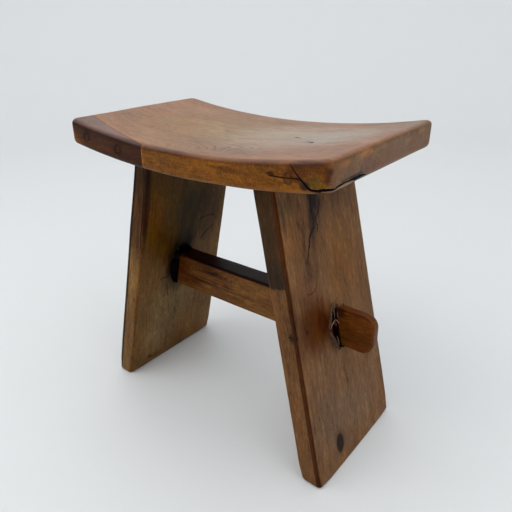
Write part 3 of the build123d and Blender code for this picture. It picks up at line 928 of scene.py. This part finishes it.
def build_seat():
    seat = new_object("seat_board_look", [seat_body(seat_wood)])
    patch = new_object("seat_patch_look", [seat_body(patch_wood)])
    combine(patch, [patch_room(JOINT_GAP, patch_wood)], "INTERSECT")
    cut(seat, [patch_room(0.0, seat_wood)])
    hole = (DOWEL_HOLE_RADIUS, DOWEL_HOLE_OVERSHOOT, crack_dark)
    holes = [dowel_body(*size, *hole) for size in DOWELS.values()]
    cut(patch, holes)
    room = (STUB_SIZE[0] + 2 * GLUE_GAP, STUB_SIZE[1] + 2 * GLUE_GAP)
    mortises = []
    for side in (-1, 1):
        mortises += stub_boxes(side, room, -STUB_ROOT, STUB_LENGTH + STUB_ROOM, seat_wood)
    cut(seat, holes + mortises + seat_marks())
    cut(seat, [corner_crack()])
    cut(seat, [groove([(SEAT_END, y, z) for y, z in END_STRAND], RIGHT, 0.8, 1.0, 64, crack_dark)])
    cut(seat, [groove([(x, SEAT_FRONT, z) for x, z in SIDE_CRACK], FRONT, 1.2, 2.0, 63, crack_dark)])
    cut(seat, knot_ring(*SEAT_KNOT))
    dowels = {}
    for name, (from_end, length) in DOWELS.items():
        body = dowel_body(from_end, length, DOWEL_RADIUS - GLUE_GAP, 0.0, dowel_wood)
        dowels[name] = new_object(name + "_look", [body])
        cut(dowels[name], [dowel_mark(from_end, *DOWEL_MARKS[name])])
    return seat, patch, dowels


# Legs. Outlines and lines on their faces are (y, z), and those on their front edges (x, y, z).
# Chips are (place, radii), cracks (line, width) and strands (line, depth, radius, material).

# The point (y, z) from which the outlines of a mortise are measured, and the directions.
MORTISE_CENTRE = np.array([(TENON_FRONT + TENON_BACK) / 2 - 4.0, STRETCHER_CENTRE_HEIGHT - 1.0])
MORTISE_TURNS = np.linspace(0, 2 * math.pi, 72, endpoint=False)
MORTISE_RAYS = np.column_stack([np.cos(MORTISE_TURNS), np.sin(MORTISE_TURNS)])
# A mortise's stages: distance out from the leg's inner face, share of the outer outline, flare.
MORTISE_STAGES = ((-4, 0, 1.3), (0, 0, 0.9), (1.2, 0.03, -0.2), (6, 0.2, -0.6), (14, 0.5, -0.8),
                  (23, 0.85, -0.6), (29.3, 0.97, -0.2), (31, 1, 0.9), (35, 1, 1.3))
RIGHT_RIM = [(19.0, 158.0), (19.0, 214.0), (2.0, 214.0), (-6.0, 219.0), (-16.0, 212.0), (-24.4, 197.0),
             (-20.5, 182.0), (-9.0, 164.0), (2.0, 158.5)]
RIGHT_INNER = [(20.0, 158.0), (20.0, 216.0), (-19.5, 216.0), (-19.5, 159.0)]
LEFT_RIM = [(26.0, 157.0), (26.0, 212.0), (17.0, 222.5), (7.0, 233.5), (-3.0, 237.0), (-13.5, 231.0),
            (-21.5, 222.0), (-26.0, 207.0), (-25.3, 183.0), (-17.0, 166.0), (-7.0, 158.5), (0.0, 157.0)]
LEFT_OUTER = [(20.0, 156.0), (20.0, 212.5), (1.0, 212.5), (0.5, 198.0), (-16.0, 197.5), (-17.0, 173.0),
              (-8.0, 159.0)]
RIGHT_CHIPS = [((-1.0, 219.0), (1.6, 5.0, 5.5)), ((-13.0, 218.0), (1.6, 4.0, 8.0)),
               ((-22.5, 186.0), (1.6, 3.5, 8.0)), ((-7.0, 163.0), (1.6, 3.5, 5.0))]
RIGHT_TORN_RIM = [(3.0, 229.0), (-8.0, 223.5), (-16.0, 213.5), (-21.5, 201.5), (-22.5, 188.0),
                  (-19.0, 173.0), (-9.5, 161.0)]
RIGHT_EDGE_CRACK = [(147.0, -95.8, 212.0), (152.0, -95.7, 216.0), (157.5, -95.3, 213.5)]
LEFT_EDGE_SLIT = [(-100.8, -89.4, 392.0), (-102.5, -90.2, 368.9), (-107.5, -91.2, 338.7),
                  (-112.5, -91.9, 315.3), (-119.0, -93.0, 282.4), (-124.5, -93.8, 256.7)]
RIGHT_CRACK = (
    [(-20.0, 374.0), (-24.0, 363.0), (-25.3, 352.6), (-21.9, 340.5), (-29.5, 331.0), (-38.7, 321.7),
     (-43.0, 312.0), (-46.4, 302.9), (-53.1, 295.1)],
    [1.4, 1.8, 2.8, 5.4, 4.6, 3.8, 2.8, 2.0, 1.2])
RIGHT_BRANCHES = [
    ([(-2.8, 368.0), (-6.0, 356.0), (-11.5, 347.0), (-21.5, 340.0)], 1.6),
    ([(-14.0, 374.0), (-15.6, 358.0), (-18.5, 348.0), (-21.5, 341.0)], 1.4),
    ([(-19.5, 340.0), (-15.8, 333.0), (-17.0, 325.1)], 1.6),
    ([(-29.2, 290.4), (-33.0, 276.0), (-37.0, 263.0), (-46.0, 257.5), (-57.5, 256.7)], 0.8)]
LEFT_CRACKS = [
    ([(23.2, 267.4), (44.3, 272.0), (64.8, 269.4), (76.0, 258.0)], 1.6),
    ([(72.9, 251.3), (49.6, 239.2), (38.9, 227.3)], 1.7),
    ([(-83.1, 337.7), (-80.3, 327.3), (-85.2, 315.9)], 1.3),
    ([(-2.5, 262.0), (2.4, 240.0)], 1.3),
    ([(-36.0, 244.0), (-32.0, 253.0), (-25.8, 257.0), (-19.9, 244.0)], 1.3),
    ([(-52.0, 181.0), (-42.4, 183.6), (-29.0, 182.5)], 1.3),
    ([(-31.7, 169.0), (-27.3, 138.8)], 1.3)]
RIGHT_STRANDS = [
    ([(-9.0, 201.0), (-6.5, 196.0), (-4.0, 190.5)], 2.5, 1.9, wedge_wood),
    ([(6.3, 229.7), (-5.2, 226.1), (-12.3, 221.3), (-16.6, 213.3), (-14.9, 205.5)], 0.3, 1.0, torn_fibre),
    ([(5.0, 225.5), (-5.0, 222.4), (-8.4, 216.8), (-7.8, 209.4), (-9.6, 205.0)], 0.3, 1.0, torn_fibre),
    ([(-26.8, 195.3), (-21.4, 187.0), (-16.7, 180.4), (-16.2, 172.9)], 0.3, 1.0, torn_fibre),
    ([(-20.2, 205.0), (-23.5, 202.3), (-26.4, 196.6)], 0.3, 1.0, torn_fibre),
    ([(-0.9, 210.0), (-1.0, 206.0), (-1.3, 202.2)], 0.3, 1.0, torn_fibre),
    ([(-9.5, 180.0), (-8.0, 171.0), (-7.8, 165.5)], 0.3, 1.0, torn_fibre),
    ([(-22.0, 195.0), (-19.5, 198.5), (-13.0, 201.5), (-8.4, 203.0)], 0.0, 0.8, pale_fibre),
    ([(-9.2, 203.2), (-5.5, 201.0), (-2.6, 197.5), (-0.9, 193.5)], 0.0, 0.75, pale_fibre)]


def leg_body(side, material):
    """Tapered leaning slab with a flat sole, scribed to the seat's underside."""
    halves = (LEG_FOOT_WIDTH / 2, LEG_LENGTH / 2, LEG_THICKNESS / 2)
    rim = LEG_ARRIS_ROUND[side] + FOOT_WEAR
    points, quads = plate_skin(halves, LEG_FOOT_ROUND, (rim, rim), rim_cells=7)
    noise = SmoothNoise(31 + side)
    arris = LEG_ARRIS_ROUND[side] * (0.85 + 0.15 * noise(points * (1, 1, 0), 45.0))
    near_foot = np.clip(1 - (points[:, 1] + halves[1]) / FOOT_WEAR_HEIGHT, 0, 1)
    near_edge = np.clip(1 - (halves[0] - abs(points[:, 0])) / FOOT_WEAR_HEIGHT, 0, 1)
    arris = arris + FOOT_WEAR * near_foot * near_edge
    points = round_plate(points, halves, LEG_FOOT_ROUND, arris, arris)
    points = wear(points, quads, 33 + side, 0.3)
    up = points[:, 1] + halves[1]
    out = points[:, 2] + halves[2]
    half_width = LEG_FOOT_WIDTH / 2 + (LEG_TOP_WIDTH - LEG_FOOT_WIDTH) / 2 * up / LEG_LENGTH
    across = points[:, 0] * half_width / halves[0]
    top = np.full(len(up), LEG_LENGTH)
    for _ in range(20):
        x = LEG_FOOT_REACH - top * math.sin(LEG_LEAN) + out * math.cos(LEG_LEAN)
        top = (seat_underside(x) - GLUE_GAP - out * math.sin(LEG_LEAN)) / math.cos(LEG_LEAN)
    blend = np.clip((up - LEG_LENGTH + LEG_FIT_LENGTH) / LEG_FIT_LENGTH, 0, 1)
    sole = np.clip(1 - up / LEG_FIT_LENGTH, 0, 1)
    up = up + (top - LEG_LENGTH) * blend - out * math.tan(LEG_LEAN) * sole
    world = leg_to_world(side, across, up, out)
    world[:, 2] = np.maximum(world[:, 2], 0.0)
    return world, quads, material


def outline_radii(corners):
    """How far an outline of (y, z) corners lies from the mortise's centre on each ray."""
    rays = MORTISE_RAYS
    radii = np.zeros(len(rays))
    starts = np.array(corners, float) - MORTISE_CENTRE
    for start, end in zip(starts, np.roll(starts, -1, axis=0)):
        edge = end - start
        cross = rays[:, 0] * edge[1] - rays[:, 1] * edge[0]
        cross[abs(cross) < 1e-9] = np.nan
        along_ray = (start[0] * edge[1] - start[1] * edge[0]) / cross
        along_edge = (start[0] * rays[:, 1] - start[1] * rays[:, 0]) / cross
        hit = (along_ray > 0) & (along_edge >= -1e-9) & (along_edge <= 1 + 1e-9)
        radii[hit] = np.maximum(radii, along_ray)[hit]
    return radii


def mortise_body(side, inner_corners, outer_corners, seed):
    """Hand-cut mortise: two different outlines joined through the leg, with chipped rims; its walls are
    painted near-black as shade.
    """
    inner, outer = outline_radii(inner_corners), outline_radii(outer_corners)
    front = np.clip(-MORTISE_RAYS[:, 0] * 1.5 + 0.3, 0.05, 1.0)
    noise = SmoothNoise(seed)
    loops = []
    for out, share, flare in MORTISE_STAGES:
        radii = inner * (1 - share) + outer * share + flare
        ring = np.column_stack([np.full(len(radii), out), radii[:, None] * MORTISE_RAYS])
        radii = radii + noise(ring, 3.0) * 0.8 * front + noise(ring + 300, 9.0) * 1.3 * front
        loops.append(leg_face(side, MORTISE_CENTRE + radii[:, None] * MORTISE_RAYS, out))
    return (*skin_loops(loops), void_painted_shade)


def leg_cracks(side, cracks, depth, seed):
    """Cutters for cracks in the left leg's inner face or the right leg's outer one."""
    out, way = (LEG_THICKNESS, RIGHT_LEG_OUT) if side > 0 else (0.0, LEFT_LEG_IN)
    return [groove(leg_face(side, line, out), way, width, depth, seed + number, crack_dark, 0.5)
            for number, (line, width) in enumerate(cracks)]


def rim_chips():
    """Shallow places where the wood has broken away round the right opening."""
    path = leg_face(1, RIGHT_TORN_RIM, LEG_THICKNESS)
    bodies = [groove(path, RIGHT_LEG_OUT, [2.5, 5.0, 5.0, 4.5, 4.5, 4.5, 3.0], 1.3, 109, chipped_wood, 0.6)]
    for number, (place, radii) in enumerate(RIGHT_CHIPS):
        centre = leg_face(1, [place], LEG_THICKNESS)[0]
        bodies.append(lump(centre, radii, 110 + number, chipped_wood, 0.45))
    return bodies


def build_leg(name, side, material, inner, outer, seed, marks):
    leg = new_object(name, [leg_body(side, material)])
    cut(leg, [mortise_body(side, inner, outer, seed)] + marks)
    combine(leg, stub_boxes(side, STUB_SIZE, -STUB_ROOT, STUB_LENGTH, material), "UNION")
    cut(leg, stub_boxes(side, KERF_SIZE, STUB_LENGTH - KERF_LENGTH, STUB_LENGTH + STUB_ROOM, material))
    return leg


def void_splinters():
    """Torn fibres in the opening beside the right tenon."""
    rng = np.random.default_rng(17)
    bodies = []
    for ray, radius in zip(MORTISE_RAYS, outline_radii(RIGHT_RIM)):
        if ray[0] > -0.35 or rng.random() < 0.35:
            continue
        y = MORTISE_CENTRE[0] + (radius - rng.uniform(0.2, 1.6)) * ray[0]
        z = MORTISE_CENTRE[1] + (radius - rng.uniform(0.2, 1.6)) * ray[1]
        half = rng.uniform(5.0, 12.0) / 2
        lean = rng.uniform(-0.25, 0.25)
        line = [(y - lean * half, z - half), (y, z), (y + lean * half, z + half)]
        path = leg_face(1, line, LEG_THICKNESS - rng.uniform(0.0, 2.0))
        material = torn_fibre if rng.random() < 0.7 else chipped_wood
        bodies.append(splinter(path, rng.uniform(0.35, 0.75), material))
    for line, depth, radius, material in RIGHT_STRANDS:
        bodies.append(splinter(leg_face(1, line, LEG_THICKNESS - depth), radius, material))
    return bodies


def wedge_body(side, material):
    """Broken stub of a wedge beside a tenon, deep in its opening."""
    halves = (WEDGE_WIDTH / 2, WEDGE_HEIGHT / 2, WEDGE_LENGTH / 2)
    points, quads = box_skin(*(np.linspace(-half, half, count) for half, count in zip(halves, (9, 21, 8))))
    noise = SmoothNoise(45 + side)
    chips = np.column_stack([noise(points + shift, 5.0) for shift in (50, 100, 150)])
    points = points + chips * (0.7, 1.2, 1.6)
    across = np.minimum(TENON_FRONT - WEDGE_SIDE_GAP - halves[0] + points[:, 0], TENON_FRONT - 0.2)
    out = LEG_THICKNESS - WEDGE_RECESS - halves[2] + points[:, 2]
    z = TENON_LOW + WEDGE_FLOOR_GAP + halves[1] + points[:, 1]
    return leg_face(side, np.column_stack([across, z]), out), quads, material


# Stretcher

STRETCHER_KNOT = ((-23.0, STRETCHER_SET_BACK - STRETCHER_THICKNESS / 2, 201.8), (2.9, 3.1), 1.1)


def bar_loop():
    """Cross-section of the stretcher as offsets (y, z) from its middle."""
    arris = STRETCHER_ARRIS_ROUND
    flat_y, flat_z = STRETCHER_THICKNESS / 2 - arris, STRETCHER_HEIGHT / 2 - arris
    outline = []
    for sign_y, sign_z, start in ((1, 1, 0), (-1, 1, 1), (-1, -1, 2), (1, -1, 3)):
        for step in range(6):
            angle = (start + step / 5) * math.pi / 2
            y, z = arris * math.cos(angle), arris * math.sin(angle)
            outline.append((sign_y * flat_y + y, sign_z * flat_z + z))
    full = []
    for (y0, z0), (y1, z1) in zip(outline, outline[1:] + outline[:1]):
        parts = max(1, round(math.hypot(y1 - y0, z1 - z0) / CELL))
        full += [(y0 + (y1 - y0) * i / parts, z0 + (z1 - z0) * i / parts) for i in range(parts)]
    return np.array(full)


def bar_reach(z):
    """How far the stretcher's bar reaches from the middle before it would touch a leg."""
    return LEG_FOOT_REACH - z * math.tan(LEG_LEAN) - BAR_GAP


def stretcher_body(material):
    """Bar on edge between the legs' inner faces."""
    outline = bar_loop()
    middle = np.array([STRETCHER_SET_BACK, STRETCHER_CENTRE_HEIGHT])
    noise = SmoothNoise(41)
    loops = []
    for share in np.linspace(-1, 1, 120):
        loop = np.column_stack([share * bar_reach(outline[:, 1] + middle[1]), outline + middle])
        size = 1 + 0.012 * noise(loop, 45.0) * (1 - abs(share) ** 8)
        loop[:, 1:] = middle + (loop[:, 1:] - middle) * size[:, None]
        loops.append(loop)
    points, faces = skin_loops(loops)
    points = tilt(points)
    limit = bar_reach(points[:, 2])
    points[:, 0] = np.clip(points[:, 0], -limit, limit)
    return points, faces, material


def tenon_body(material):
    """The bar that runs through both legs, rounded at its tips."""
    halves = (TENON_TIP, TENON_HEIGHT / 2, (TENON_BACK - TENON_FRONT) / 2)
    rims = (TENON_FRONT_ROUND, TENON_BACK_ROUND)
    points, quads = plate_skin(halves, TENON_END_ROUND, rims, 10, rim_cell=1.5)
    points = round_plate(points, halves, TENON_END_ROUND, TENON_BACK_ROUND, TENON_FRONT_ROUND)
    x, z, y = wear(points, quads, 43, 0.2, 0.15).T
    world = np.column_stack([x, (TENON_FRONT + TENON_BACK) / 2 + y, TENON_LOW + TENON_HEIGHT / 2 + z])
    return tilt(world), quads, material


def build_stretcher():
    stretcher = new_object("stretcher_look", [stretcher_body(bar_wood)])
    combine(stretcher, [tenon_body(bar_wood)], "UNION")
    cut(stretcher, knot_ring(*STRETCHER_KNOT))
    return stretcher


def dress(obj, nodes):
    """Smooth shading with quick turns left sharp, and the piece's place in the frame."""
    obj.data.shade_smooth()
    obj.data.set_sharp_from_angle(angle=SHARP_ANGLE)
    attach(obj, "root")
    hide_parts(*nodes)


seat, patch, dowels = build_seat()
left_marks = leg_cracks(-1, LEFT_CRACKS, 1.0, 95)
left_marks += [groove(LEFT_EDGE_SLIT, FRONT, 1.4, 1.5, 104, crack_dark, 0.5)]
left_leg = build_leg("left_leg_look", -1, left_wood, LEFT_RIM, LEFT_OUTER, 51, left_marks)
right_marks = leg_cracks(1, [RIGHT_CRACK], 1.8, 91)
right_marks += [groove(RIGHT_EDGE_CRACK, FRONT, [2.0, 4.0, 4.6], 2.6, 93, crack_dark, 0.5)]
right_leg = build_leg("right_leg_look", 1, right_wood, RIGHT_INNER, RIGHT_RIM, 52, right_marks)
for body in leg_cracks(1, RIGHT_BRANCHES, 1.2, 120) + rim_chips():
    cut(right_leg, [body])

dress(seat, ["seat_board"])
dress(patch, ["seat_corner_patch"])
dress(left_leg, ["left_leg"])
dress(right_leg, ["right_leg"])
dress(build_stretcher(), ["stretcher"])
for name, dowel in dowels.items():
    dress(dowel, [name])
# The left wedge is painted near-black as the shade deep in its opening.
dress(new_object("left_wedge_look", [wedge_body(-1, void_painted_shade)]), ["left_tenon_wedge"])
right_wedge = new_object("right_wedge_look", [wedge_body(1, wedge_wood)] + void_splinters())
dress(right_wedge, ["right_tenon_wedge"])

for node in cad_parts.values():
    node.data.materials.clear()
    node.data.materials.append(wedge_wood)


# Floor, light and camera, in metres

def floor_bowl():
    """Pale floor that curves up into a far wall all round."""
    flat, bend, top, count = 2.2, 1.2, 3.6, 96
    profile = [(0.6, 0.0), (1.2, 0.0), (flat, 0.0)]
    for turn in np.linspace(0, math.pi / 2, 13)[1:]:
        profile.append((flat + bend * math.sin(turn), bend - bend * math.cos(turn)))
    profile.append((flat + bend, top))
    angles = [2 * math.pi * i / count for i in range(count)]
    points = [(r * math.cos(a), r * math.sin(a), height) for r, height in profile for a in angles]
    middle = len(points)
    faces = []
    for i in range(count):
        j = (i + 1) % count
        faces.append((middle, i, j))
        for row in range(0, middle - count, count):
            faces.append((row + i, row + count + i, row + count + j, row + j))
    mesh = bpy.data.meshes.new("floor")
    mesh.from_pydata(points + [(0.0, 0.0, 0.0)], [], faces)
    mesh.shade_smooth()
    material = bpy.data.materials.new("floor_pale")
    material.use_nodes = True
    surface = material.node_tree.nodes["Principled BSDF"]
    surface.inputs["Base Color"].default_value = srgb(222, 223, 224)
    surface.inputs["Roughness"].default_value = 0.55
    mesh.materials.append(material)
    link_object("floor", mesh)


def area_light(name, place, target, size, power, colour):
    data = bpy.data.lights.new(name, "AREA")
    data.shape = "DISK"
    data.size = size
    data.energy = power
    data.color = colour
    light = link_object(name, data)
    light.location = place
    light.rotation_euler = (Vector(target) - Vector(place)).to_track_quat("-Z", "Y").to_euler()


floor_bowl()
area_light("key", (-0.5, -1.4, 1.8), (0.1, -0.2, 0.1), 2.2, 16.0, (1.0, 0.985, 0.96))
area_light("side", (1.7, -0.2, 1.2), (0, 0, 0.1), 1.6, 6.0, (0.96, 0.98, 1.0))
area_light("backdrop", (-0.7, 0.6, 3.2), (-2.4, 2.6, 1.8), 1.2, 14.0, (0.97, 0.985, 1.0))

world = bpy.data.worlds.new("studio")
world.use_nodes = True
background = world.node_tree.nodes["Background"]
background.inputs["Color"].default_value = (0.945, 0.975, 0.985, 1.0)
background.inputs["Strength"].default_value = 1.12
bpy.context.scene.world = world
bpy.context.scene.view_settings.view_transform = "Standard"

# The camera's place, its turns in radians and its lens were fitted to the stool's edges in the photo.
CAMERA_PLACE = (0.43689, -0.52723, 0.56431)
CAMERA_YAW = 0.7204
CAMERA_PITCH = 0.4421
CAMERA_ROLL = -0.0290
CAMERA_LENS = 35.225
CAMERA_SHIFT = (0.05096, 0.00866)

camera_data = bpy.data.cameras.new("camera")
camera_data.lens = CAMERA_LENS
camera_data.sensor_width = 36.0
camera_data.sensor_fit = "HORIZONTAL"
camera_data.shift_x, camera_data.shift_y = CAMERA_SHIFT
camera_data.clip_start = 0.01
camera = link_object("camera", camera_data)
camera_matrix = Matrix.Translation(CAMERA_PLACE)
for angle, axis in ((CAMERA_YAW, "Z"), (math.pi / 2 - CAMERA_PITCH, "X"), (CAMERA_ROLL, "Z")):
    camera_matrix = camera_matrix @ Matrix.Rotation(angle, 4, axis)
camera.matrix_world = camera_matrix
bpy.context.scene.camera = camera
